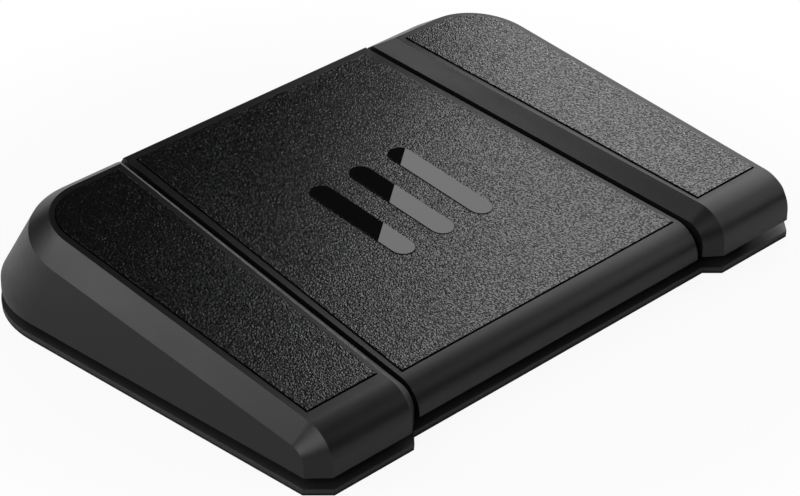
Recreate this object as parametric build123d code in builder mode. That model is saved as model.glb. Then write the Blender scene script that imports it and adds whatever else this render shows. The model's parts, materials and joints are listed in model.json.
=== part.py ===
from build123d import *
import os
from math import cos, radians, sin, tan

os.makedirs("parts", exist_ok=True)

# Foot pedal switch with three tilting pedals, in millimetres and degrees.
# Origin on the floor at the centre of the footprint, X right, Y to the tall back, Z up.

# Footprint of the base
width = 236.6
depth = 172.6
corner_share = 0.3263
jog_share = 0.6432
front_chamfer = 7.0
jog = 4.8
overrun = 2.0
half_width = width / 2
front = -depth / 2
rear = depth / 2
rear_corner = half_width * corner_share
jog_x = half_width * jog_share

# Base layers, from the floor up
mat_thick = 0.8
mat_inset = 0.1
plate_thick = 1.5
plate_top = mat_thick + plate_thick

# Rubber tread under the mat
groove_width = 1.6
groove_depth = 0.35
groove_margin = 16.0
groove_count = 12

# Pedal travel and hinge
travel = 1.4
hinge_from_rear = 22.0
hinge_z = 18.0
rod_radius = 2.0
rod_inset_share = 0.4155
rod_fit = 0.05
rod_pass = 1.2
seat_fit = 0.02
run_gap = 0.5
hinge_y = rear - hinge_from_rear
hinge_reach = hinge_y - front
front_travel = hinge_reach * tan(radians(travel))
rod_half_length = half_width - rear_corner * rod_inset_share

# Pedal caps, common to all three
slope = 8.25
lean = 35.7
lean_start = 9.8
taper = 4.1
form_turn = 45.0
skirt_gap = 4.05
wall = 2.8
skirt_z = plate_top + skirt_gap
slope_sin = sin(radians(slope))
slope_cos = cos(radians(slope))
lean_tan = tan(radians(lean))
taper_tan = tan(radians(taper))
taper_cos = cos(radians(taper))

# Side pedals
side_front_z = 20.56
side_front_inset = 0.5
side_inset = 0.2
side_lip = 12.5
side_share = 0.3925
bevel_drop = 6.15
inner_bevel_drop = 4.65
outer_bevel_front = 6.5
outer_bevel_rear = 8.3
inner_bevel_front = 5.8
inner_bevel_rear = 4.95
rear_bevel = 7.5
bevel_corner_share = 0.86
top_corner_share = 0.571
side_half = half_width - side_inset
inner_front_x = half_width * (1 - side_share)
bevel_corner = rear_corner * bevel_corner_share
top_corner = rear_corner * top_corner_share
side_axis_y = front + side_front_inset + side_lip
side_axis_z = side_front_z + (side_axis_y - front) * tan(radians(slope)) - side_lip / slope_cos
bevel_share = 1 - tan(radians(form_turn / 2))

# Centre pedal
step = 4.85
pedal_gap = 2.3
centre_front_inset = 5.05
centre_lip = 11.2
centre_front_x = inner_front_x - pedal_gap
centre_front_z = side_front_z - step
centre_axis_y = front + centre_front_inset + centre_lip
centre_axis_z = centre_front_z + (centre_axis_y - front) * tan(radians(slope)) - centre_lip / slope_cos

# Tread pads and the pockets that they lie in
pocket_depth = 1.3
pad_gap = 0.45
pad_proud = 0.45
frame_front = 2.95
frame_rear = 2.2
outer_frame = 2.45
inner_frame_front = 1.3
inner_frame_rear = 2.55
pad_corner_share = 0.48
pad_corner = rear_corner * pad_corner_share
centre_frame_front = 1.9
centre_frame_rear = 2.85
centre_frame_back = 2.9

# Marker bars on the centre pad
marker_width = 9.0
marker_length = 46.0
marker_pitch = 19.0
marker_count = 3
marker_thick = 0.9
marker_proud = 0.25
marker_gap = 0.15
marker_share = 0.456
marker_y = front + depth * marker_share

# Tray on the plate
tray_inset = 5.4
tray_front_inset = 11.3
tray_chamfer = 9.0
tray_floor = 1.7
tray_wall = 2.0
tray_height = 7.1
floor_z = plate_top + tray_floor
tray_top = plate_top + tray_height
notch_z = tray_top + front_travel + run_gap

# Hinge ears under the caps, saddles and clamps on the tray
ear_thick = 3.0
ear_radius = 5.0
centre_ear_shares = (0.17, 0.356)
side_ear_insets = (24.0, 8.0)
saddle_width = 8.0
saddle_length = 12.0
centre_saddle_share = 0.263
side_saddle_inset = 14.5
clamp_height = 3.6
clamp_screw_offset = 4.0
clamp_screw_radius = 1.0
clamp_screw_length = 8.0
clamp_head_radius = 1.6
clamp_head_height = 1.0
clip_thick = 0.8
clip_radius = 4.0
clip_inset = 2.5
clip_place = rod_half_length - clip_inset
centre_ears = [half_width * share for share in centre_ear_shares]
side_ears = [rod_half_length - inset for inset in side_ear_insets]
saddle_places = (half_width * centre_saddle_share, rod_half_length - side_saddle_inset)

# Stations of the mechanism: distance from the front, and distance from the middle
side_place_inset = 26.0
centre_place_share = 0.322
stop_from_front = 24.0
catch_from_front = 32.0
spring_share = 0.36
switch_share = 0.605
side_x = half_width - side_place_inset
centre_x = half_width * centre_place_share
stop_y = front + stop_from_front
spring_y = front + depth * spring_share
switch_y = front + depth * switch_share

# Rubber end stops
stop_radius = 4.0
stop_height = 3.5
stop_chamfer = 0.6
stop_gap = 0.2
stop_post_z = (
    floor_z + stop_height + stop_gap
    + (hinge_reach - stop_from_front) * tan(radians(travel))
)

# Catches that hold the caps down
catch_width = 10.0
tab_thick = 2.5
toe_length = 2.9
toe_height = 1.6
toe_bottom = 9.4
catch_gap = 0.3
catch_lead = 1.0
catch_ledge = 2.5
ledge_height = 1.5
catch_post = 3.0

# Return springs
spring_wire = 0.5
spring_radius = 4.0
spring_turns = 6
spring_headroom = 1.1
spring_slack = 0.3
spring_lift = 0.1
cup_radius = 6.8
cup_depth = 5.0
cup_wall = 1.4
pin_radius = 2.8
pin_height = 4.0
spring_top = (
    centre_front_z + (spring_y - front) * tan(radians(slope))
    - wall - spring_headroom
)
spring_length = spring_top - floor_z

# Circuit board and its bosses
board_thick = 1.2
board_side_gap = 7.0
board_strip = 20.0
board_tongue_half = 12.0
board_rear_gap = 8.0
boss_height = 3.0
boss_radius = 3.0
board_screw_radius = 1.1
board_screw_length = 4.6
board_head_radius = 2.1
board_head_height = 1.3
board_screw_gap = 0.1
board_screw_share = 0.424
board_screw_inset = 3.0
board_rear_screw_share = 0.7326
board_half = half_width - tray_inset - board_side_gap
board_screw_places = (half_width * board_screw_share, board_half - board_screw_inset)
board_bottom = floor_z + boss_height
board_top = board_bottom + board_thick
board_rear = rear - board_rear_gap

# Snap-action switches
switch_length = 12.8
switch_width = 5.8
switch_height = 6.5
plunger_length = 3.0
plunger_width = 1.6
plunger_proud = 1.4
plunger_sunk = 1.2
plunger_well = 3.0
plunger_gap = 0.1
actuator_radius = 3.0
actuator_gap = 0.1
switch_top = board_top + switch_height
plunger_top = switch_top + plunger_proud

# Parts on the board
chip_size = 7.0
chip_thick = 0.9
chip_share = 0.8023
chip_y = front + depth * chip_share
part_length = 2.0
part_width = 1.25
part_height = 0.8
part_pitch = 4.0
part_rows = 2
part_columns = 4

# Cable inlet at the back
receptacle_width = 8.94
receptacle_height = 3.26
receptacle_length = 7.3
receptacle_wall = 0.3
receptacle_corner = 1.4
receptacle_back = 1.0
tongue_width = 6.7
tongue_thick = 0.7
tongue_short = 0.8
aperture_gap = 0.15
housing_half = 13.0
housing_gap = 0.2
housing_web = 1.0
housing_top_wall = 1.8
plug_depth = 6.5
plug_width = 13.0
plug_height = 7.4
plug_corner = 1.5
notch_side = 1.5
mouth_y = rear - plug_depth
inlet_z = board_top + receptacle_height / 2
housing_top = inlet_z + plug_height / 2 + housing_top_wall

# Screws from below
base_screw_radius = 1.5
base_screw_head = 2.8
base_screw_length = 6.0
base_boss_radius = 3.4
base_boss_height = 5.0
base_window = 4.5
base_screw_gap = 0.1
base_screw_shares = ((0.475, 0.29), (0.475, 0.767), (0.881, 0.29), (0.881, 0.721))


def keep(builder, label):
    """Label a finished piece and write it."""
    builder.part.label = label
    export_step(builder.part, "parts/" + label + ".step")


def mirrored(source):
    """The same piece on the other side of the middle plane."""
    with BuildPart() as twin:
        add(mirror(source.part, about=Plane.YZ))
    return twin


def both_sides(points):
    """Points and their mirror images on the other side of the middle plane."""
    return [(side * x, y) for x, y in points for side in (-1, 1)]


base_screw_points = both_sides(
    [(half_width * across, front + depth * along) for across, along in base_screw_shares]
)
board_points = both_sides([(x, switch_y) for x in board_screw_places])
board_points += [(0, front + depth * board_rear_screw_share)]


def outer_rear(shape):
    """The vertex of a right-hand outline that lies furthest out and back."""
    return shape.vertices().sort_by(lambda v: v.X + v.Y)[-1]


def base_plan(inset):
    """Plan of the base, its edges moved in by inset."""
    with BuildSketch() as plan:
        with BuildLine():
            Polyline(
                (0, front + jog),
                (jog_x - jog, front + jog),
                (jog_x, front),
                (half_width - front_chamfer, front),
                (half_width, front + front_chamfer),
                (half_width, rear),
                (0, rear),
                close=True,
            )
        make_face()
        fillet(outer_rear(plan), rear_corner)
        mirror(about=Plane.YZ)
        if inset:
            offset(amount=-inset, kind=Kind.INTERSECTION)
    return plan.sketch


def tray_plan(inset):
    """Plan of the tray, its edges moved in by inset."""
    tray_front = front + tray_front_inset + inset
    tray_half = half_width - tray_inset - inset
    tray_rear = rear - tray_inset - inset
    with BuildSketch() as plan:
        with BuildLine():
            Polyline(
                (0, tray_front),
                (tray_half - tray_chamfer, tray_front),
                (tray_half, tray_front + tray_chamfer),
                (tray_half, tray_rear),
                (0, tray_rear),
                close=True,
            )
        make_face()
        fillet(outer_rear(plan), rear_corner - tray_inset - inset)
        mirror(about=Plane.YZ)
    return plan.sketch


def slope_plane(axis_y, axis_z, height):
    """Plane parallel to a pedal's top, its origin square above the axis of the front lip."""
    return Plane(
        origin=(0, axis_y - height * slope_sin, axis_z + height * slope_cos),
        x_dir=(1, 0, 0),
        z_dir=(0, -slope_sin, slope_cos),
    )


def lip_plane(axis_y, axis_z):
    """Plane through the lip's axis, square to the pedal's top."""
    return Plane(origin=(0, axis_y, axis_z), x_dir=(1, 0, 0), z_dir=(0, -slope_cos, -slope_sin))


def lip_edge_y(axis_y, height):
    """Y of the point at that height square above the lip's axis."""
    return axis_y - height * slope_sin


def rear_reach(axis_y, axis_z, height, inset):
    """Distance along a slope plane from above the lip's axis to the leaning rear wall."""
    back = rear - inset / cos(radians(lean)) - axis_y - (axis_z - lean_start) * lean_tan
    return (back + height * (slope_sin - slope_cos * lean_tan)) / (slope_cos + slope_sin * lean_tan)


def section(plane, points, corner):
    """Four-sided outline of a side pedal on a plane, its outer rear corner rounded."""
    with BuildSketch(plane) as outline:
        with BuildLine():
            Polyline(*points, close=True)
        make_face()
        fillet(outer_rear(outline), corner)
    return outline.sketch


def inner_x(y, inset):
    """Inner wall of the right pedal, which closes in on the middle towards the back."""
    return inner_front_x - (y - front) * taper_tan + inset / taper_cos


def centre_half(y, inset):
    """Half width of the centre pedal, which narrows towards the back."""
    return centre_front_x - (y - front) * taper_tan - inset / taper_cos


def side_top_corners(inset):
    """Corners of the right pedal's top face on its slope plane, before rounding."""
    lip = side_lip - inset
    trim = bevel_share * inset
    outer = side_half - inset
    reach = rear_reach(side_axis_y, side_axis_z, lip - bevel_drop + trim, inset) - rear_bevel + trim
    top_y = lip_edge_y(side_axis_y, lip)
    return (
        (inner_x(top_y, inset) + inner_bevel_front - trim, 0),
        (outer - outer_bevel_front + trim, 0),
        (outer - outer_bevel_rear + trim, reach),
        (inner_x(top_y + reach * slope_cos, inset) + inner_bevel_rear - trim, reach),
    )


def side_form(inset, bottom):
    """Outer form of the right pedal, its faces moved in by inset, down to bottom."""
    lip = side_lip - inset
    bevel = lip - bevel_drop + bevel_share * inset
    inner_bevel = bevel + bevel_drop - inner_bevel_drop
    outer = side_half - inset
    back = rear - inset / cos(radians(lean))
    reach = rear_reach(side_axis_y, side_axis_z, bevel, inset)
    bevel_y = lip_edge_y(side_axis_y, bevel)
    inner_y = lip_edge_y(side_axis_y, inner_bevel)
    top = side_top_corners(inset)
    climb = (inner_bevel - bevel) / (lip - bevel)
    upper_reach = reach + climb * (top[2][1] - reach)
    wall_point = (inner_x(side_axis_y, inset), side_axis_y)
    lip_section = (
        (wall_point[0], 0),
        (inner_x(inner_y, inset), inner_bevel),
        (top[0][0], lip),
        (top[1][0], lip),
        (outer, bevel),
        (outer, 0),
    )
    skirt = [(x, side_axis_y - height) for x, height in lip_section[:-1]]
    skirt += [(outer, back), (inner_x(back, inset), back)]
    low = (wall_point, (outer, side_axis_y), (outer, back), (inner_x(back, inset), back))
    middle = (
        (inner_x(bevel_y, inset), 0),
        (outer, 0),
        (outer, reach),
        (inner_x(bevel_y + reach * slope_cos, inset), reach),
    )
    upper = (
        (inner_x(inner_y, inset), 0),
        (outer + climb * (top[1][0] - outer), 0),
        (outer + climb * (top[2][0] - outer), upper_reach),
        (inner_x(inner_y + upper_reach * slope_cos, inset), upper_reach),
    )
    upper_corner = bevel_corner + climb * (top_corner - bevel_corner) - inset
    with BuildPart() as form:
        add(section(Plane.XY.offset(bottom), skirt, rear_corner - inset))
        extrude(amount=side_axis_z - bottom)
        with BuildSketch(lip_plane(side_axis_y, side_axis_z)):
            with BuildLine():
                Polyline(*lip_section, close=True)
            make_face()
        revolve(axis=Axis((0, side_axis_y, side_axis_z), (1, 0, 0)), revolution_arc=90 - slope)
        loft(
            sections=[
                section(Plane.XY.offset(side_axis_z), low, rear_corner - inset),
                section(slope_plane(side_axis_y, side_axis_z, bevel), middle, bevel_corner - inset),
                section(slope_plane(side_axis_y, side_axis_z, inner_bevel), upper, upper_corner),
                section(slope_plane(side_axis_y, side_axis_z, lip), top, top_corner - inset),
            ],
            ruled=True,
        )
    return form.part


def centre_top_corners(inset):
    """Right-hand corners of the centre pedal's top face on its slope plane."""
    lip = centre_lip - inset
    top_y = lip_edge_y(centre_axis_y, lip)
    reach = rear_reach(centre_axis_y, centre_axis_z, lip, inset)
    return (centre_half(top_y, inset), 0), (centre_half(top_y + reach * slope_cos, inset), reach)


def mirrored_outline(points):
    """Closed outline from its right-hand points, front to back, and their mirror images."""
    return list(points) + [(-x, y) for x, y in reversed(points)]


def centre_form(inset, bottom):
    """Outer form of the centre pedal, its faces moved in by inset, down to bottom."""
    lip = centre_lip - inset
    back = rear - inset / cos(radians(lean))
    top = centre_top_corners(inset)
    axis_half = centre_half(centre_axis_y, inset)
    rear_half = centre_half(back, inset)
    with BuildPart() as form:
        with BuildSketch(Plane.XY.offset(bottom)):
            with BuildLine():
                Polyline(
                    *mirrored_outline([
                        (top[0][0], centre_axis_y - lip),
                        (axis_half, centre_axis_y),
                        (rear_half, back),
                    ]),
                    close=True,
                )
            make_face()
        extrude(amount=centre_axis_z - bottom)
        with BuildSketch(lip_plane(centre_axis_y, centre_axis_z)):
            with BuildLine():
                Polyline(*mirrored_outline([(axis_half, 0), (top[0][0], lip)]), close=True)
            make_face()
        revolve(axis=Axis((0, centre_axis_y, centre_axis_z), (1, 0, 0)), revolution_arc=90 - slope)
        with BuildSketch(Plane.XY.offset(centre_axis_z)) as low:
            with BuildLine():
                Polyline(
                    *mirrored_outline([(axis_half, centre_axis_y), (rear_half, back)]),
                    close=True,
                )
            make_face()
        with BuildSketch(slope_plane(centre_axis_y, centre_axis_z, lip)) as high:
            with BuildLine():
                Polyline(*mirrored_outline(top), close=True)
            make_face()
        loft(sections=[low.sketch, high.sketch], ruled=True)
    return form.part


def side_pad_outline(gap, proud):
    """Outline of the right tread pocket, moved in by gap and up by proud."""
    corners = side_top_corners(0)
    rear_edge = corners[2][1] - frame_rear - gap
    points = (
        (corners[0][0] + inner_frame_front + gap, frame_front + gap),
        (corners[1][0] - outer_frame - gap, frame_front + gap),
        (corners[2][0] - outer_frame - gap, rear_edge),
        (corners[3][0] + inner_frame_rear + gap, rear_edge),
    )
    plane = slope_plane(side_axis_y, side_axis_z, side_lip + proud)
    return section(plane, points, pad_corner - gap)


def centre_pad_outline(gap, proud):
    """Outline of the centre tread pocket, moved in by gap and up by proud."""
    corners = centre_top_corners(0)
    points = [
        (corners[0][0] - centre_frame_front - gap, gap),
        (corners[1][0] - centre_frame_rear - gap, corners[1][1] - centre_frame_back - gap),
    ]
    with BuildSketch(slope_plane(centre_axis_y, centre_axis_z, centre_lip + proud)) as outline:
        with BuildLine():
            Polyline(*mirrored_outline(points), close=True)
        make_face()
    return outline.sketch


def marker_outline(gap):
    """Outlines of the marker bars, grown by gap."""
    plane = slope_plane(centre_axis_y, centre_axis_z, centre_lip + pad_proud)
    along = (marker_y - plane.origin.Y) / slope_cos
    with BuildSketch(plane) as outline:
        with Locations((0, along)):
            with GridLocations(marker_pitch, marker_length, marker_count, 1):
                SlotOverall(marker_length + 2 * gap, marker_width + 2 * gap, rotation=90)
    return outline.sketch


def cap_fittings(core, ears, places):
    """Ribs, posts and cups under a pedal cap, cut to the middle of its wall."""
    tall = core.bounding_box().max.Z + overrun
    with BuildPart() as fittings:
        for ear_x in ears:
            with BuildSketch(Plane.YZ.offset(ear_x)):
                with Locations((hinge_y, hinge_z)):
                    Circle(ear_radius)
                with Locations((hinge_y, (hinge_z + tall) / 2)):
                    Rectangle(2 * ear_radius, tall - hinge_z)
            extrude(amount=ear_thick)
        for place in places["actuator"]:
            with BuildSketch(Plane.XY.offset(plunger_top + actuator_gap)):
                with Locations((place, switch_y)):
                    Circle(actuator_radius)
            extrude(amount=tall - plunger_top)
        for place in places["spring"]:
            with BuildSketch(Plane.XY.offset(spring_top - cup_depth)):
                with Locations((place, spring_y)):
                    Circle(cup_radius)
            extrude(amount=tall - spring_top + cup_depth)
        for place in places["stop"]:
            with BuildSketch(Plane.XY.offset(stop_post_z)):
                with Locations((place, stop_y)):
                    Circle(stop_radius)
            extrude(amount=tall - stop_post_z)
            tab_y = front + catch_from_front
            with BuildSketch(Plane.XY.offset(toe_bottom)):
                with Locations((place, tab_y + tab_thick / 2)):
                    Rectangle(catch_width, tab_thick)
            extrude(amount=tall - toe_bottom)
            with BuildSketch(Plane.XY.offset(toe_bottom)):
                with Locations((place, tab_y + tab_thick + toe_length / 2)):
                    Rectangle(catch_width, toe_length)
            extrude(amount=toe_height)
        add(core, mode=Mode.INTERSECT)
    return fittings.part


def cup_hollows(places):
    """Hollows of the spring cups."""
    with BuildPart() as hollows:
        with BuildSketch(Plane.XY.offset(spring_top - cup_depth - overrun)):
            with Locations(*[(place, spring_y) for place in places["spring"]]):
                Circle(cup_radius - cup_wall)
        extrude(amount=cup_depth + overrun)
    return hollows.part


def wall_notch(low_x, high_x):
    """Window under the walls between the pedals, over the tray's rim and the board."""
    notch_front = front + tray_front_inset - run_gap
    inside = rear - wall
    rim_z = tray_top + run_gap
    with BuildPart() as notch:
        with BuildSketch(Plane.YZ.offset(low_x)):
            with BuildLine():
                Polyline(
                    (notch_front, skirt_z - overrun),
                    (notch_front, notch_z),
                    (inside - (notch_z - rim_z), notch_z),
                    (inside, rim_z),
                    (inside, skirt_z - overrun),
                    close=True,
                )
            make_face()
        extrude(amount=high_x - low_x)
    return notch.part


def hinge_bar(radius, low_x, high_x):
    """Round bar along the hinge line between two distances from the middle."""
    with BuildPart() as bar:
        with BuildSketch(Plane.YZ.offset(low_x)):
            with Locations((hinge_y, hinge_z)):
                Circle(radius)
        extrude(amount=high_x - low_x)
    return bar.part


side_places = {"actuator": (side_x,), "spring": (side_x,), "stop": (side_x,)}
centre_places = {
    "actuator": (0,),
    "spring": (-centre_x, centre_x),
    "stop": (-centre_x, centre_x),
}


def side_shell():
    """Cap of the right pedal."""
    outer = side_form(0, skirt_z)
    cavity = side_form(wall, skirt_z - overrun)
    fittings = cap_fittings(side_form(wall / 2, skirt_z), side_ears, side_places)
    rear_wall_x = inner_x(hinge_y, 0)
    ear_end = side_ears[-1] + ear_thick + overrun
    with BuildPart() as shell:
        add(outer)
        add(cavity, mode=Mode.SUBTRACT)
        add(fittings)
        add(wall_notch(inner_x(rear, -overrun), inner_x(front, wall)), mode=Mode.SUBTRACT)
        add(cup_hollows(side_places), mode=Mode.SUBTRACT)
        add(hinge_bar(rod_radius + rod_fit, rear_wall_x, ear_end), mode=Mode.SUBTRACT)
        add(
            hinge_bar(rod_radius + rod_pass, rear_wall_x - overrun, rear_wall_x + wall + overrun),
            mode=Mode.SUBTRACT,
        )
        add(side_pad_outline(0, 0))
        extrude(amount=-pocket_depth, mode=Mode.SUBTRACT)
    return shell


def side_pad():
    """Tread pad of the right pedal, a little proud of its frame."""
    with BuildPart() as pad:
        add(side_pad_outline(pad_gap, pad_proud))
        extrude(amount=-pad_proud - pocket_depth)
    return pad


right_pedal_shell = side_shell()
keep(right_pedal_shell, "right_pedal_shell")
left_pedal_shell = mirrored(right_pedal_shell)
keep(left_pedal_shell, "left_pedal_shell")

right_tread_pad = side_pad()
keep(right_tread_pad, "right_tread_pad")
left_tread_pad = mirrored(right_tread_pad)
keep(left_tread_pad, "left_tread_pad")

# Centre pedal cap, with a notch in its rear skirt for the cable inlet
centre_outer = centre_form(0, skirt_z)
centre_cavity = centre_form(wall, skirt_z - overrun)
ear_starts = [side * x - (ear_thick if side < 0 else 0) for x in centre_ears for side in (-1, 1)]
centre_fittings = cap_fittings(centre_form(wall / 2, skirt_z), ear_starts, centre_places)
with BuildPart() as centre_pedal_shell:
    add(centre_outer)
    add(centre_cavity, mode=Mode.SUBTRACT)
    add(centre_fittings)
    notch_span = centre_half(rear, wall), centre_half(front, -overrun)
    add(wall_notch(*notch_span), mode=Mode.SUBTRACT)
    add(wall_notch(-notch_span[1], -notch_span[0]), mode=Mode.SUBTRACT)
    add(cup_hollows(centre_places), mode=Mode.SUBTRACT)
    wall_x = centre_half(hinge_y, wall + overrun)
    add(hinge_bar(rod_radius + rod_fit, -wall_x, wall_x), mode=Mode.SUBTRACT)
    for low_x, high_x in ((-half_width, -wall_x), (wall_x, half_width)):
        add(hinge_bar(rod_radius + rod_pass, low_x, high_x), mode=Mode.SUBTRACT)
    with BuildSketch(Plane.XZ.offset(-rear - overrun)):
        with Locations((0, (skirt_z + housing_top + notch_side) / 2 - overrun / 2)):
            Rectangle(
                2 * (housing_half + notch_side),
                housing_top + notch_side - skirt_z + overrun,
            )
    extrude(amount=overrun + plug_depth + housing_web + wall, mode=Mode.SUBTRACT)
    add(centre_pad_outline(0, 0))
    extrude(amount=-pocket_depth, mode=Mode.SUBTRACT)
keep(centre_pedal_shell, "centre_pedal_shell")

# Centre tread pad, with pockets for the marker bars
with BuildPart() as centre_tread_pad:
    add(centre_pad_outline(pad_gap, pad_proud))
    extrude(amount=-pad_proud - pocket_depth)
    add(marker_outline(marker_gap))
    extrude(amount=-marker_thick, mode=Mode.SUBTRACT)
keep(centre_tread_pad, "centre_tread_pad")

# Marker bars: plain glossy inlays, a little proud of the pad
with BuildPart() as centre_marker_bars:
    add(marker_outline(0))
    extrude(amount=-marker_thick)
    add(marker_outline(0))
    extrude(amount=marker_proud)
keep(centre_marker_bars, "centre_marker_bars")

# Rubber mat with a grooved tread and windows for the screws
with BuildPart() as base_mat:
    add(base_plan(mat_inset))
    extrude(amount=mat_thick)
    groove_pitch = (depth - 2 * groove_margin) / groove_count
    with BuildSketch():
        with GridLocations(width, groove_pitch, 1, groove_count):
            Rectangle(width - 2 * rear_corner, groove_width)
    extrude(amount=groove_depth, mode=Mode.SUBTRACT)
    with BuildSketch():
        with Locations(*base_screw_points):
            Circle(base_window)
    extrude(amount=mat_thick, mode=Mode.SUBTRACT)
keep(base_mat, "base_mat")

# Steel plate, drilled and countersunk from below
with BuildPart() as base_plate:
    with BuildSketch(Plane.XY.offset(mat_thick)):
        add(base_plan(0))
    extrude(amount=plate_thick)
    with Locations(*[Location((x, y, mat_thick)) for x, y in base_screw_points]):
        Cylinder(
            base_screw_radius + base_screw_gap,
            plate_thick,
            align=(Align.CENTER, Align.CENTER, Align.MIN),
            mode=Mode.SUBTRACT,
        )
        Cone(
            base_screw_head + base_screw_gap,
            base_screw_radius + base_screw_gap,
            plate_thick,
            align=(Align.CENTER, Align.CENTER, Align.MIN),
            mode=Mode.SUBTRACT,
        )
keep(base_plate, "base_plate")

# Tray: floor, rim, saddles for the rod, catches, pins and bosses
with BuildPart() as chassis_tray:
    with BuildSketch(Plane.XY.offset(plate_top)):
        add(tray_plan(0))
    extrude(amount=tray_height)
    with BuildSketch(Plane.XY.offset(floor_z)):
        add(tray_plan(tray_wall))
    extrude(amount=tray_height, mode=Mode.SUBTRACT)
    with BuildSketch(Plane.XY.offset(floor_z)):
        with Locations(*[(side * x, hinge_y) for x in saddle_places for side in (-1, 1)]):
            Rectangle(saddle_width, saddle_length)
    extrude(amount=hinge_z - floor_z)
    with BuildSketch(Plane.XY.offset(floor_z)):
        with Locations(*[(x, spring_y) for x in (-side_x, -centre_x, centre_x, side_x)]):
            Circle(pin_radius)
    extrude(amount=pin_height)
    with BuildSketch(Plane.XY.offset(floor_z)):
        with Locations(*base_screw_points):
            Circle(base_boss_radius)
    extrude(amount=base_boss_height)
    with BuildSketch(Plane.XY.offset(floor_z)):
        with Locations(*board_points):
            Circle(boss_radius)
    extrude(amount=boss_height)
    for place in (-side_x, -centre_x, centre_x, side_x):
        post_y = front + catch_from_front + tab_thick + catch_lead + catch_ledge
        ledge_z = toe_bottom + toe_height + catch_gap
        with BuildSketch(Plane.XY.offset(floor_z)):
            with Locations((place, post_y + catch_post / 2)):
                Rectangle(catch_width, catch_post)
        extrude(amount=ledge_z + ledge_height - floor_z)
        with BuildSketch(Plane.XY.offset(ledge_z)):
            with Locations((place, post_y - catch_ledge / 2)):
                Rectangle(catch_width, catch_ledge)
        extrude(amount=ledge_height)
    add(hinge_bar(rod_radius + seat_fit, -half_width, half_width), mode=Mode.SUBTRACT)
    with BuildSketch(Plane.XY.offset(hinge_z)):
        with Locations(*[
            (side * x, hinge_y + way * clamp_screw_offset)
            for x in saddle_places for side in (-1, 1) for way in (-1, 1)
        ]):
            Circle(clamp_screw_radius)
    extrude(amount=clamp_height - clamp_screw_length, mode=Mode.SUBTRACT)
    with BuildSketch(Plane.XY.offset(plate_top)):
        with Locations(*base_screw_points):
            Circle(base_screw_radius)
    extrude(amount=base_screw_length - plate_thick, mode=Mode.SUBTRACT)
    with BuildSketch(Plane.XY.offset(board_bottom)):
        with Locations(*board_points):
            Circle(board_screw_radius)
    extrude(amount=board_thick - board_screw_length, mode=Mode.SUBTRACT)
    with BuildSketch(Plane.XY.offset(plate_top)):
        with Locations((0, rear - tray_inset)):
            Rectangle(
                2 * (housing_half + housing_gap),
                2 * (plug_depth + housing_web + housing_gap - tray_inset),
            )
    extrude(amount=tray_height + overrun, mode=Mode.SUBTRACT)
keep(chassis_tray, "chassis_tray")

# Cable inlet housing, its rear face in line with the leaning rear wall
with BuildPart() as inlet_housing:
    with BuildSketch(Plane.YZ.offset(-housing_half)):
        with BuildLine():
            Polyline(
                (mouth_y - housing_web, plate_top),
                (rear, plate_top),
                (rear, lean_start),
                (rear - (housing_top - lean_start) * lean_tan, housing_top),
                (mouth_y - housing_web, housing_top),
                close=True,
            )
        make_face()
    extrude(amount=2 * housing_half)
    with BuildSketch(Plane.XZ.offset(-rear - overrun)):
        with Locations((0, inlet_z)):
            RectangleRounded(plug_width, plug_height, plug_corner)
    extrude(amount=plug_depth + overrun, mode=Mode.SUBTRACT)
    with BuildSketch(Plane.XZ.offset(-mouth_y)):
        with Locations((0, inlet_z)):
            RectangleRounded(
                receptacle_width + 2 * aperture_gap,
                receptacle_height + 2 * aperture_gap,
                receptacle_corner + aperture_gap,
            )
    extrude(amount=housing_web, mode=Mode.SUBTRACT)
    with BuildSketch(Plane.XZ.offset(housing_web - mouth_y)):
        with Locations((0, (board_bottom + board_top) / 2)):
            Rectangle(2 * (board_tongue_half + housing_gap), board_thick + 2 * housing_gap)
    extrude(amount=-housing_web, mode=Mode.SUBTRACT)
keep(inlet_housing, "inlet_housing")

# Receptacle: a rounded steel sleeve, closed at the back
with BuildPart() as usb_receptacle:
    with BuildSketch(Plane.XZ.offset(-mouth_y)):
        with Locations((0, inlet_z)):
            RectangleRounded(receptacle_width, receptacle_height, receptacle_corner)
    extrude(amount=receptacle_length)
    with BuildSketch(Plane.XZ.offset(-mouth_y)):
        with Locations((0, inlet_z)):
            RectangleRounded(
                receptacle_width - 2 * receptacle_wall,
                receptacle_height - 2 * receptacle_wall,
                receptacle_corner - receptacle_wall,
            )
    extrude(amount=receptacle_length - receptacle_back, mode=Mode.SUBTRACT)
keep(usb_receptacle, "usb_receptacle")

# Contact tongue inside the receptacle
with BuildPart() as usb_contact_tongue:
    with BuildSketch(Plane.XZ.offset(receptacle_length - receptacle_back - mouth_y)):
        with Locations((0, inlet_z)):
            Rectangle(tongue_width, tongue_thick)
    extrude(amount=tongue_short + receptacle_back - receptacle_length)
keep(usb_contact_tongue, "usb_contact_tongue")

# Hinge rod through all three pedals
with BuildPart() as hinge_rod:
    with BuildSketch(Plane.YZ.offset(-rod_half_length)):
        with Locations((hinge_y, hinge_z)):
            Circle(rod_radius)
    extrude(amount=2 * rod_half_length)
keep(hinge_rod, "hinge_rod")

# Clamps that hold the rod in the saddles
with BuildPart() as rod_clamps:
    with BuildSketch(Plane.XY.offset(hinge_z)):
        with Locations(*[(side * x, hinge_y) for x in saddle_places for side in (-1, 1)]):
            Rectangle(saddle_width, saddle_length)
        with Locations(*[
            (side * x, hinge_y + way * clamp_screw_offset)
            for x in saddle_places for side in (-1, 1) for way in (-1, 1)
        ]):
            Circle(clamp_screw_radius, mode=Mode.SUBTRACT)
    extrude(amount=clamp_height)
    add(hinge_bar(rod_radius + seat_fit, -half_width, half_width), mode=Mode.SUBTRACT)
keep(rod_clamps, "rod_clamps")

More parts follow.
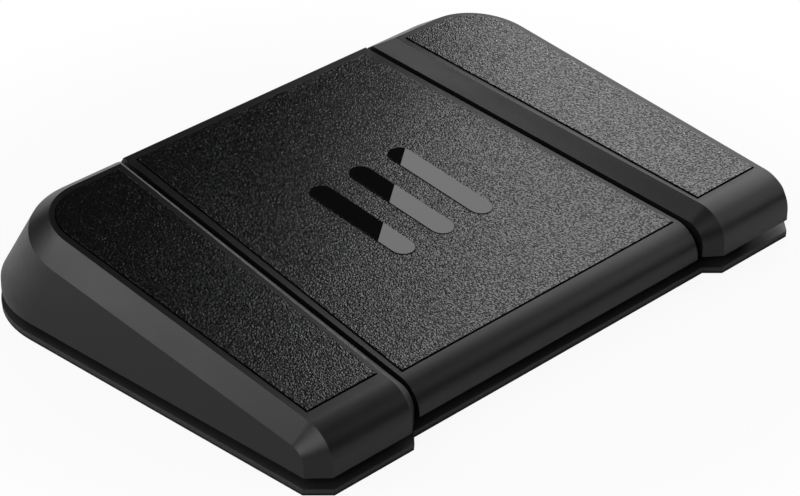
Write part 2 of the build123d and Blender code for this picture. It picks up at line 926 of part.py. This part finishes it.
# Screws of the clamps
with BuildPart() as clamp_screws:
    for level, radius, amount in (
        (hinge_z + clamp_height, clamp_head_radius, clamp_head_height),
        (hinge_z + clamp_height, clamp_screw_radius, -clamp_screw_length),
    ):
        with BuildSketch(Plane.XY.offset(level)):
            with Locations(*[
                (side * x, hinge_y + way * clamp_screw_offset)
                for x in saddle_places for side in (-1, 1) for way in (-1, 1)
            ]):
                Circle(radius)
        extrude(amount=amount)
keep(clamp_screws, "clamp_screws")

# Clips at the ends of the rod
with BuildPart() as rod_clips:
    for start in (clip_place, -clip_place - clip_thick):
        with BuildSketch(Plane.YZ.offset(start)):
            with Locations((hinge_y, hinge_z)):
                Circle(clip_radius)
                Circle(rod_radius + seat_fit, mode=Mode.SUBTRACT)
        extrude(amount=clip_thick)
keep(rod_clips, "rod_clips")


def return_springs(places):
    """Coil springs standing on the tray, one at each place."""
    with BuildPart() as springs:
        for place in places:
            low = floor_z + spring_wire + spring_lift
            rise = spring_length - 2 * spring_wire - spring_slack
            with BuildLine(Plane(origin=(place, spring_y, low))) as coil:
                Helix(rise / spring_turns, rise, spring_radius)
            with BuildSketch(Plane(origin=coil.line @ 0, z_dir=coil.line % 0)):
                Circle(spring_wire)
            sweep(path=coil.line, is_frenet=True)
    return springs


def bump_stops(places):
    """Rubber end stops on the tray floor."""
    with BuildPart() as stops:
        with BuildSketch(Plane.XY.offset(floor_z)):
            with Locations(*[(place, stop_y) for place in places]):
                Circle(stop_radius)
        extrude(amount=stop_height)
        chamfer(stops.edges().group_by(Axis.Z)[-1], stop_chamfer)
    return stops


def switch_body(place):
    """Body of a snap-action switch, with the well of its plunger."""
    with BuildPart() as body:
        with BuildSketch(Plane.XY.offset(board_top)):
            with Locations((place, switch_y)):
                Rectangle(switch_length, switch_width)
        extrude(amount=switch_height)
        with BuildSketch(Plane.XY.offset(switch_top)):
            with Locations((place, switch_y)):
                Rectangle(plunger_length + 2 * plunger_gap, plunger_width + 2 * plunger_gap)
        extrude(amount=-plunger_well, mode=Mode.SUBTRACT)
    return body


def switch_plunger(place):
    """Plunger of a snap-action switch."""
    with BuildPart() as plunger:
        with BuildSketch(Plane.XY.offset(switch_top - plunger_sunk)):
            with Locations((place, switch_y)):
                Rectangle(plunger_length, plunger_width)
        extrude(amount=plunger_sunk + plunger_proud)
    return plunger


for name, spring_places, switch_place in (
    ("left", (-side_x,), -side_x),
    ("centre", (-centre_x, centre_x), 0),
    ("right", (side_x,), side_x),
):
    plural = "s" if len(spring_places) > 1 else ""
    keep(return_springs(spring_places), name + "_return_spring" + plural)
    keep(bump_stops(spring_places), name + "_bump_stop" + plural)
    keep(switch_body(switch_place), name + "_switch_body")
    keep(switch_plunger(switch_place), name + "_switch_plunger")

# Circuit board: a strip under the three switches and a tongue to the inlet
with BuildPart() as circuit_board:
    with BuildSketch(Plane.XY.offset(board_bottom)):
        with Locations((0, switch_y)):
            Rectangle(2 * board_half, board_strip)
        with Locations((0, (switch_y + board_rear) / 2)):
            Rectangle(2 * board_tongue_half, board_rear - switch_y)
        with Locations(*board_points):
            Circle(board_screw_radius + board_screw_gap, mode=Mode.SUBTRACT)
    extrude(amount=board_thick)
keep(circuit_board, "circuit_board")

with BuildPart() as board_screws:
    with BuildSketch(Plane.XY.offset(board_top)):
        with Locations(*board_points):
            Circle(board_head_radius)
    extrude(amount=board_head_height)
    with BuildSketch(Plane.XY.offset(board_top)):
        with Locations(*board_points):
            Circle(board_screw_radius)
    extrude(amount=-board_screw_length)
keep(board_screws, "board_screws")

with BuildPart() as controller_chip:
    with BuildSketch(Plane.XY.offset(board_top)):
        with Locations((0, chip_y)):
            Rectangle(chip_size, chip_size)
    extrude(amount=chip_thick)
keep(controller_chip, "controller_chip")

with BuildPart() as board_components:
    with BuildSketch(Plane.XY.offset(board_top)):
        for side in (-1, 1):
            with Locations((side * (chip_size + part_width), chip_y)):
                with GridLocations(part_length + part_width, part_pitch, part_rows, part_columns):
                    Rectangle(part_length, part_width)
    extrude(amount=part_height)
keep(board_components, "board_components")

with BuildPart() as base_screws:
    with Locations(*[Location((x, y, mat_thick)) for x, y in base_screw_points]):
        Cone(
            base_screw_head,
            base_screw_radius,
            plate_thick,
            align=(Align.CENTER, Align.CENTER, Align.MIN),
        )
        Cylinder(
            base_screw_radius,
            base_screw_length,
            align=(Align.CENTER, Align.CENTER, Align.MIN),
        )
keep(base_screws, "base_screws")
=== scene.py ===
import json
import math

import bpy
from mathutils import Matrix, Vector


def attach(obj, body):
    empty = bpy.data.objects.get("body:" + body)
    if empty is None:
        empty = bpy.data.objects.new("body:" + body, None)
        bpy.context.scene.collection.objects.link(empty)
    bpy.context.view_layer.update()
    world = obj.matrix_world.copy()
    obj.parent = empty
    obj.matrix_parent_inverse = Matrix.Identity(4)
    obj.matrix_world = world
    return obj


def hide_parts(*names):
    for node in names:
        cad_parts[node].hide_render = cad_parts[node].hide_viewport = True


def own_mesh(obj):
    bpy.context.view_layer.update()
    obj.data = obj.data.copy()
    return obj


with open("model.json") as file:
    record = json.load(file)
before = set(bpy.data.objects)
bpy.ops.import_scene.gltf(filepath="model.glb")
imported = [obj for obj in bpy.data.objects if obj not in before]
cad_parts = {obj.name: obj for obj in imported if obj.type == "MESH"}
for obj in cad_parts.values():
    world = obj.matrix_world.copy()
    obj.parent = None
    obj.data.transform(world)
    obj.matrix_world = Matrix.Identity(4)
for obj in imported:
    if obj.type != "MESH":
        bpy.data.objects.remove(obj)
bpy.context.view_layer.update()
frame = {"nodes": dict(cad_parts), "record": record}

NODES = frame["nodes"]
SLOTS = {entry["node"]: entry["material_slot"] for entry in frame["record"]["subparts"]}

# Soft lamps: name, place, point they face, size in metres and power in watts
LAMPS = (
    ("key_upright", (0.422, -0.017, 0.31), (0.008, -0.297, 0.31), (0.5, 0.5), 1.50),
    ("edge_low", (0.60, 0.40, 0.10), (-0.1, 0.0, 0.03), (0.4, 0.12), 0.78),
    ("left_high", (-0.45, 0.45, 0.70), (0.0, 0.0, 0.02), (0.5, 0.5), 2.10),
    ("back_high", (-0.30, 0.70, 0.60), (0.0, 0.0, 0.02), (0.5, 0.5), 0.45),
    ("left_wide", (-0.78, -0.30, 0.50), (-0.1, -0.05, 0.0), (0.8, 0.4), 3.05),
    ("right_front", (0.90, -0.60, 0.50), (0.0, 0.0, 0.02), (0.6, 0.5), 0.85),
)
WORLD_LIGHT = 0.02
WHITE = (1.0, 1.0, 1.0, 1.0)

# Camera at the photograph's angle: degrees, metres, and pixels of the photograph
CAMERA_AZIMUTH = -45.0
CAMERA_ELEVATION = 30.25
CAMERA_TARGET = (-0.034885, 0.000367, 0.02)
CAMERA_DISTANCE = 1.064947
PHOTO_WIDTH = 800.0
PHOTO_HEIGHT = 496.0
FOCAL_PIXELS = 3207.076
AXIS_X = 311.02             # pixel that the camera's axis passes through
AXIS_Y = 247.932
SENSOR_WIDTH = 36.0
CLIP_START = 0.05
CLIP_END = 20.0

# Floor: distances from the object's centre in metres, and shares of plain white
FLOOR_HALF = 4.0
FLOOR_DROP = 0.0001
SHADE_NEAR = 0.13           # the floor's own shade, with the shadow, fades out from here
SHADE_FAR = 0.22
SHADE_WHITE = 0.92
BEHIND_NEAR = 0.10          # white that only reflections see, starting behind the object
BEHIND_FAR = 0.20
BEHIND_SHARE = 0.35
AROUND_NEAR = 0.2
AROUND_FAR = 0.4

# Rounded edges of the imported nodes, in metres and degrees
SHELL_EDGE = 0.00045
PAD_EDGE = 0.00022
PLATE_EDGE = 0.00025
MARKER_EDGE = 0.00018
EDGE_ANGLE = 24.0
MARKER_ANGLE = 40.0
EDGE_SEGMENTS = 3
WELD_REACH = 0.000002

# Return springs and the hinges that press them
SPRING_HINGES = {
    "left_return_spring": "left_pedal_hinge",
    "centre_return_springs": "centre_pedal_hinge",
    "right_return_spring": "right_pedal_hinge",
}

# Most values of a noise texture lie between these two
NOISE_LOW = 0.3
NOISE_HIGH = 0.7


# ---------------------------------------------------------------- node trees


class Tree:
    """Small helper for building a material's node tree."""

    def __init__(self, name):
        self.material = bpy.data.materials.new(name)
        self.material.use_nodes = True
        self.nodes = self.material.node_tree.nodes
        self.links = self.material.node_tree.links
        self.shader = self.nodes["Principled BSDF"]
        self.output = self.nodes["Material Output"]
        coords = self.nodes.new("ShaderNodeTexCoord")
        self.place = coords.outputs["Object"]

    def put(self, socket, value):
        """Link a socket to another one, or set its constant."""
        if isinstance(value, bpy.types.NodeSocket):
            self.links.new(value, socket)
        else:
            socket.default_value = value

    def noise(self, scale, detail=2.0, rough=0.5, stretch=None):
        made = self.nodes.new("ShaderNodeTexNoise")
        made.inputs["Scale"].default_value = scale
        made.inputs["Detail"].default_value = detail
        made.inputs["Roughness"].default_value = rough
        source = self.place
        if stretch:
            mapping = self.nodes.new("ShaderNodeMapping")
            mapping.inputs["Scale"].default_value = stretch
            self.links.new(source, mapping.inputs["Vector"])
            source = mapping.outputs["Vector"]
        self.links.new(source, made.inputs["Vector"])
        return made.outputs["Fac"]

    def cells(self, scale, smooth):
        made = self.nodes.new("ShaderNodeTexVoronoi")
        made.feature = "SMOOTH_F1"
        made.inputs["Scale"].default_value = scale
        made.inputs["Smoothness"].default_value = smooth
        self.links.new(self.place, made.inputs["Vector"])
        return made.outputs["Distance"]

    def math(self, operation, a, b, clamp=False):
        made = self.nodes.new("ShaderNodeMath")
        made.operation = operation
        made.use_clamp = clamp
        self.put(made.inputs[0], a)
        self.put(made.inputs[1], b)
        return made.outputs[0]

    def ramp(self, value, low, high, to_low=0.0, to_high=1.0):
        """Map low to high onto to_low to to_high, clamped."""
        made = self.nodes.new("ShaderNodeMapRange")
        self.put(made.inputs["Value"], value)
        made.inputs["From Min"].default_value = low
        made.inputs["From Max"].default_value = high
        made.inputs["To Min"].default_value = to_low
        made.inputs["To Max"].default_value = to_high
        return made.outputs["Result"]

    def spread(self, noise, middle, swing):
        """Turn a noise into values around middle."""
        return self.ramp(noise, NOISE_LOW, NOISE_HIGH, middle - swing, middle + swing)

    def mix_colour(self, factor, a, b):
        made = self.nodes.new("ShaderNodeMix")
        made.data_type = "RGBA"
        self.put(made.inputs[0], factor)
        self.put(made.inputs[6], a)
        self.put(made.inputs[7], b)
        return made.outputs[2]

    def bump(self, height, strength, distance):
        made = self.nodes.new("ShaderNodeBump")
        made.inputs["Strength"].default_value = strength
        made.inputs["Distance"].default_value = distance
        self.links.new(height, made.inputs["Height"])
        return made.outputs["Normal"]

    def glow(self, strength=1.0):
        made = self.nodes.new("ShaderNodeEmission")
        made.inputs["Color"].default_value = WHITE
        made.inputs["Strength"].default_value = strength
        return made.outputs[0]

    def finish(self, colour, rough, normal=None):
        self.put(self.shader.inputs["Base Color"], colour)
        self.put(self.shader.inputs["Roughness"], rough)
        if normal is not None:
            self.links.new(normal, self.shader.inputs["Normal"])
        return self.material


def grey(level, blue=1.02):
    """Neutral colour with a trace of blue."""
    return (level, level, level * blue, 1.0)


def tinted(colour, share=1.0):
    return tuple(channel * share for channel in colour) + (1.0,)


# ------------------------------------------------------------------ finishes
# Pattern sizes are in waves per metre and depths in metres.


def satin_plastic(name, level, rough=0.36, grain=2600.0, blotch=28.0, wipe=95.0, depth=0.00002):
    """Moulded black plastic with a fine satin grain and slight handling marks."""
    t = Tree(name)
    fine = t.noise(grain, 3.0, 0.6)
    wide = t.noise(blotch, 3.0, 0.55)
    smear = t.noise(wipe, 4.0, 0.6, stretch=(1.0, 0.35, 1.0))
    tone = t.ramp(t.math("ADD", wide, t.math("MULTIPLY", smear, 0.5)), 0.45, 1.05)
    colour = t.mix_colour(tone, grey(level * 0.86), grey(level * 1.16))
    roughness = t.math("ADD", t.spread(smear, rough, 0.03), t.spread(fine, 0.0, 0.03))
    return t.finish(colour, roughness, t.bump(fine, 0.25, depth))


def pebbled_rubber(name, level, rough=0.13, pebble=1750.0, blotch=22.0, depth=0.00014):
    """Black tread: low shiny pebbles, dull valleys between them painted darker as shade, and fine
    specks with painted shade in their reflection.
    """
    t = Tree(name)
    cells = t.cells(pebble, 0.3)
    swell = t.noise(pebble * 0.8, 1.0)
    height = t.math("ADD", t.math("MULTIPLY", cells, -0.6), t.math("MULTIPLY", swell, 0.8))
    valley = t.ramp(cells, 0.35, 0.75)
    # Painted shade: fine specks get a black specular tint, as shaded pits that the bump does not make.
    pit_shade_specks = t.ramp(t.noise(pebble * 0.77, 0.0), 0.44, 0.56)
    t.put(t.shader.inputs["Specular Tint"], t.mix_colour(pit_shade_specks, grey(0.0), grey(1.0)))
    t.shader.inputs["Specular IOR Level"].default_value = 0.95
    wide = t.noise(blotch, 3.0, 0.55)
    dark = t.mix_colour(wide, grey(level * 0.8), grey(level * 1.1))
    # Painted shade: the valleys between the pebbles get a darker colour than the tops.
    colour = t.mix_colour(valley, dark, grey(level * 0.4))
    roughness = t.math("ADD", t.ramp(valley, 0.0, 1.0, rough, rough + 0.12),
                       t.spread(t.noise(pebble * 2.2), 0.0, 0.03))
    return t.finish(colour, roughness, t.bump(height, 1.0, depth))


def gloss_plastic(name, level, rough=0.0, wipe=60.0, speck=1400.0):
    """Polished inlay, flat as a mirror, with faint wipe marks and specks of dust."""
    t = Tree(name)
    smear = t.noise(wipe, 5.0, 0.6, stretch=(3.0, 0.4, 1.0))
    dust = t.noise(speck)
    colour = t.mix_colour(smear, grey(level * 0.8), grey(level * 1.2))
    roughness = t.math("ADD", t.ramp(smear, 0.45, 0.8, rough, rough + 0.02),
                       t.ramp(dust, 0.7, 0.8, 0.0, 0.05))
    t.shader.inputs["Specular IOR Level"].default_value = 0.72
    return t.finish(colour, roughness)


def powder_coat(name, level, rough=0.48, orange=1100.0, blotch=35.0, depth=0.00004):
    """Black powder coat on steel: a faint orange peel."""
    t = Tree(name)
    peel = t.noise(orange, 2.0, 0.4)
    wide = t.noise(blotch, 3.0)
    colour = t.mix_colour(wide, grey(level * 0.85), grey(level * 1.2))
    return t.finish(colour, t.spread(peel, rough, 0.05), t.bump(peel, 0.25, depth))


def matt_rubber(name, level, rough=0.79, cloud=55.0, grain=1800.0, depth=0.00004):
    """Plain rubber with a dusty, slightly blotched face."""
    t = Tree(name)
    blotch = t.noise(cloud, 5.0, 0.65)
    fine = t.noise(grain, 3.0, 0.6)
    colour = t.mix_colour(t.ramp(blotch, 0.35, 0.75), grey(level * 0.8), grey(level * 1.5))
    return t.finish(colour, t.spread(blotch, rough, 0.07), t.bump(fine, 0.4, depth))


def metal(name, colour, rough, drawn=900.0, blotch=90.0, depth=0.00001):
    """Bare metal with fine drawn lines."""
    t = Tree(name)
    lines = t.noise(drawn, 3.0, 0.6)
    wide = t.noise(blotch, 3.0)
    t.shader.inputs["Metallic"].default_value = 1.0
    return t.finish(t.mix_colour(wide, tinted(colour, 0.8), tinted(colour)),
                    t.spread(lines, rough, 0.085), t.bump(lines, 0.2, depth))


def moulded(name, colour, rough=0.5, grain=1300.0, blotch=130.0, depth=0.00002):
    """Small coloured moulding."""
    t = Tree(name)
    fine = t.noise(grain, 3.0)
    wide = t.noise(blotch, 3.0)
    return t.finish(t.mix_colour(wide, tinted(colour, 0.82), tinted(colour)),
                    t.spread(fine, rough, 0.05), t.bump(fine, 0.25, depth))


def board_mask(name, rough=0.315, tracks=260.0, grain=900.0, depth=0.00003):
    """Green solder mask with pale tracks under it."""
    t = Tree(name)
    brick = t.nodes.new("ShaderNodeTexBrick")
    brick.inputs["Scale"].default_value = tracks
    brick.inputs["Mortar Size"].default_value = 0.06
    brick.inputs["Color1"].default_value = (0.004, 0.03, 0.012, 1.0)
    brick.inputs["Color2"].default_value = (0.005, 0.036, 0.015, 1.0)
    brick.inputs["Mortar"].default_value = (0.02, 0.09, 0.035, 1.0)
    t.links.new(t.place, brick.inputs["Vector"])
    return t.finish(brick.outputs["Color"], t.spread(t.noise(grain), rough, 0.065),
                    t.bump(brick.outputs["Fac"], 0.2, depth))


FINISHES = {
    "pedal_plastic": satin_plastic("pedal satin black", 0.0065),
    "tread_rubber": pebbled_rubber("tread pebble black", 0.006),
    "marker_gloss": gloss_plastic("marker gloss black", 0.003),
    "plate_paint": powder_coat("plate powder coat", 0.026),
    "mat_rubber": matt_rubber("mat rubber", 0.004),
    "tray_plastic": satin_plastic("tray matt black", 0.004, rough=0.6, grain=1800.0),
    "steel": metal("steel", (0.58, 0.58, 0.59), 0.315),
    "spring_steel": metal("spring steel", (0.5, 0.5, 0.51), 0.355),
    "screw_black": powder_coat("screw black oxide", 0.02, 0.4),
    "clamp_plastic": moulded("clamp nylon", (0.16, 0.16, 0.17)),
    "stop_rubber": matt_rubber("stop rubber", 0.02),
    "board_laminate": board_mask("board solder mask"),
    "chip_black": moulded("chip package", (0.012, 0.012, 0.012), 0.55),
    "component_tan": moulded("ceramic bodies", (0.28, 0.19, 0.1), 0.4),
    "switch_plastic": moulded("switch case", (0.014, 0.014, 0.015), 0.45),
    "plunger_plastic": moulded("switch plunger", (0.32, 0.02, 0.015), 0.4),
    "inlet_shell": metal("inlet sleeve", (0.66, 0.66, 0.67), 0.235),
}


# -------------------------------------------------------------------- pieces


def dress(name, node):
    """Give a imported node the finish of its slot."""
    material = FINISHES[SLOTS[name]]
    if not node.material_slots:
        node.data.materials.append(material)
    for used in node.material_slots:
        used.material = material


def soft_edges(name, radius, angle=EDGE_ANGLE):
    """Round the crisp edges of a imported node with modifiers, its own mesh left as it is."""
    node = NODES[name]
    weld = node.modifiers.new("weld", "WELD")
    weld.merge_threshold = WELD_REACH
    bevel = node.modifiers.new("soft edges", "BEVEL")
    bevel.width = radius
    bevel.segments = EDGE_SEGMENTS
    bevel.limit_method = "ANGLE"
    bevel.angle_limit = math.radians(angle)
    bevel.use_clamp_overlap = True
    bevel.harden_normals = True
    normals = node.modifiers.new("weighted normals", "WEIGHTED_NORMAL")
    normals.keep_sharp = True
    normals.weight = 100


def flexing_spring(name):
    """A copy of a return spring in spring steel, attached to the base in place of the hidden original.
    """
    coil = bpy.data.objects.new(name + "_coil", NODES[name].data.copy())
    bpy.context.scene.collection.objects.link(coil)
    coil.data.materials.clear()
    coil.data.materials.append(FINISHES["spring_steel"])
    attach(coil, "base")
    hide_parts(name)
    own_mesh(coil)


# -------------------------------------------------------------------- studio


def area_light(name, place, target, size, power):
    data = bpy.data.lights.new(name, "AREA")
    data.shape = "RECTANGLE"
    data.size, data.size_y = size
    data.energy = power
    lamp = bpy.data.objects.new(name, data)
    bpy.context.scene.collection.objects.link(lamp)
    lamp.location = place
    lamp.rotation_mode = "QUATERNION"
    lamp.rotation_quaternion = (Vector(target) - Vector(place)).to_track_quat("-Z", "Y")


def floor_material():
    """White floor: it keeps the shadow near the object and is plain white to the camera further out."""
    t = Tree("studio floor")
    colour = t.mix_colour(t.noise(40.0), (0.86, 0.86, 0.86, 1.0), (0.9, 0.9, 0.9, 1.0))
    t.finish(colour, 0.9)
    t.shader.inputs["Specular IOR Level"].default_value = 0.1
    length = t.nodes.new("ShaderNodeVectorMath")
    length.operation = "LENGTH"
    t.links.new(t.place, length.inputs[0])
    distance = length.outputs["Value"]
    axes = t.nodes.new("ShaderNodeSeparateXYZ")
    t.links.new(t.place, axes.inputs[0])
    paths = t.nodes.new("ShaderNodeLightPath")
    seen = t.math("MULTIPLY", t.ramp(distance, SHADE_NEAR, SHADE_FAR, SHADE_WHITE, 1.0),
                  paths.outputs["Is Camera Ray"])
    behind = t.ramp(axes.outputs["Y"], BEHIND_NEAR, BEHIND_FAR, 0.0, BEHIND_SHARE)
    around = t.ramp(distance, AROUND_NEAR, AROUND_FAR)
    mirrored = t.math("MULTIPLY", t.math("MAXIMUM", behind, around),
                      paths.outputs["Is Glossy Ray"])
    mixer = t.nodes.new("ShaderNodeMixShader")
    t.links.new(t.math("ADD", seen, mirrored, clamp=True), mixer.inputs[0])
    t.links.new(t.shader.outputs[0], mixer.inputs[1])
    t.links.new(t.glow(), mixer.inputs[2])
    t.links.new(mixer.outputs[0], t.output.inputs["Surface"])
    return t.material


def make_floor():
    mesh = bpy.data.meshes.new("studio_floor")
    corners = [(-FLOOR_HALF, -FLOOR_HALF, 0), (FLOOR_HALF, -FLOOR_HALF, 0),
               (FLOOR_HALF, FLOOR_HALF, 0), (-FLOOR_HALF, FLOOR_HALF, 0)]
    mesh.from_pydata(corners, [], [(0, 1, 2, 3)])
    floor = bpy.data.objects.new("studio_floor", mesh)
    floor.location.z = -FLOOR_DROP
    mesh.materials.append(floor_material())
    bpy.context.scene.collection.objects.link(floor)


def make_world():
    """Dim world for the object, plain white for the camera."""
    world = bpy.data.worlds.new("studio")
    bpy.context.scene.world = world
    world.use_nodes = True
    nodes, links = world.node_tree.nodes, world.node_tree.links
    plain = nodes["Background"]
    plain.inputs["Color"].default_value = WHITE
    plain.inputs["Strength"].default_value = WORLD_LIGHT
    backdrop = nodes.new("ShaderNodeBackground")
    backdrop.inputs["Color"].default_value = WHITE
    paths = nodes.new("ShaderNodeLightPath")
    mixer = nodes.new("ShaderNodeMixShader")
    links.new(paths.outputs["Is Camera Ray"], mixer.inputs[0])
    links.new(plain.outputs[0], mixer.inputs[1])
    links.new(backdrop.outputs[0], mixer.inputs[2])
    links.new(mixer.outputs[0], nodes["World Output"].inputs["Surface"])


def make_camera():
    """Camera at the photograph's angle: to the left of the front, looking down."""
    azimuth, elevation = math.radians(CAMERA_AZIMUTH), math.radians(CAMERA_ELEVATION)
    back = Vector((math.sin(azimuth) * math.cos(elevation),
                   -math.cos(azimuth) * math.cos(elevation), math.sin(elevation)))
    right = Vector((math.cos(azimuth), math.sin(azimuth), 0.0))
    up = back.cross(right)
    data = bpy.data.cameras.new("camera")
    data.sensor_width = SENSOR_WIDTH
    data.lens = FOCAL_PIXELS / PHOTO_WIDTH * SENSOR_WIDTH
    data.shift_x = (PHOTO_WIDTH / 2 - AXIS_X) / PHOTO_WIDTH
    data.shift_y = (AXIS_Y - PHOTO_HEIGHT / 2) / PHOTO_WIDTH
    data.clip_start, data.clip_end = CLIP_START, CLIP_END
    camera = bpy.data.objects.new("camera", data)
    bpy.context.scene.collection.objects.link(camera)
    turn = Matrix((right, up, back)).transposed().to_4x4()
    camera.matrix_world = Matrix.Translation(Vector(CAMERA_TARGET) + back * CAMERA_DISTANCE) @ turn
    bpy.context.scene.camera = camera


for node_name, node_object in NODES.items():
    dress(node_name, node_object)

for side in ("left", "centre", "right"):
    soft_edges(side + "_pedal_shell", SHELL_EDGE)
    soft_edges(side + "_tread_pad", PAD_EDGE)
soft_edges("base_plate", PLATE_EDGE)
soft_edges("centre_marker_bars", MARKER_EDGE, MARKER_ANGLE)

for spring_name, hinge_name in SPRING_HINGES.items():
    flexing_spring(spring_name)

make_floor()
make_world()
make_camera()
for lamp_row in LAMPS:
    area_light(*lamp_row)

bpy.context.scene.view_settings.view_transform = "Standard"
